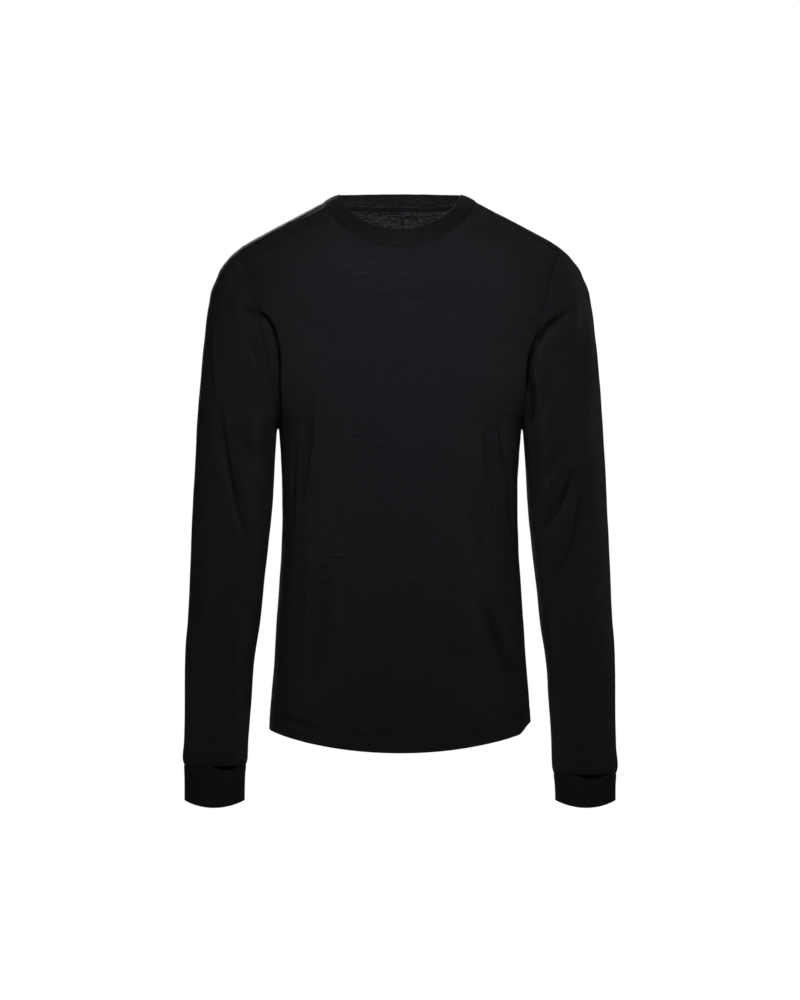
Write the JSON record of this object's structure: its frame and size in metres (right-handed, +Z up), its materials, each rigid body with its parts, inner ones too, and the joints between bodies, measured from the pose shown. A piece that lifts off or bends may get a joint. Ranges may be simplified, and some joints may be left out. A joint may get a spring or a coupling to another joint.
{
  "type": "long-sleeved base layer top",
  "caption": "Fitted long-sleeved crew neck base layer top in fine black jersey, filled out and hollow, with a curved hem, banded cuffs and thumb slits.",
  "frame": {"origin": "the middle of the neck hole at the height of the shoulders beside the neck, where the wearer holds it up", "axes": "+Z up, the front faces -Y, +X to the right in a view of the front"},
  "size_m": [0.5548, 0.239, 0.7858],
  "materials": {
    "jersey": "fine soft knit, matt",
    "rib": "doubled fine knit band, matt",
    "tape": "smooth flat tape, matt"
  },
  "bodies": {
    "root": {"front": "jersey", "back": "jersey", "sleeve_left": "jersey", "sleeve_right": "jersey", "cuff_left": "rib", "cuff_right": "rib", "neckband": "rib", "neck_tape": "tape"}
  },
  "joints": []
}
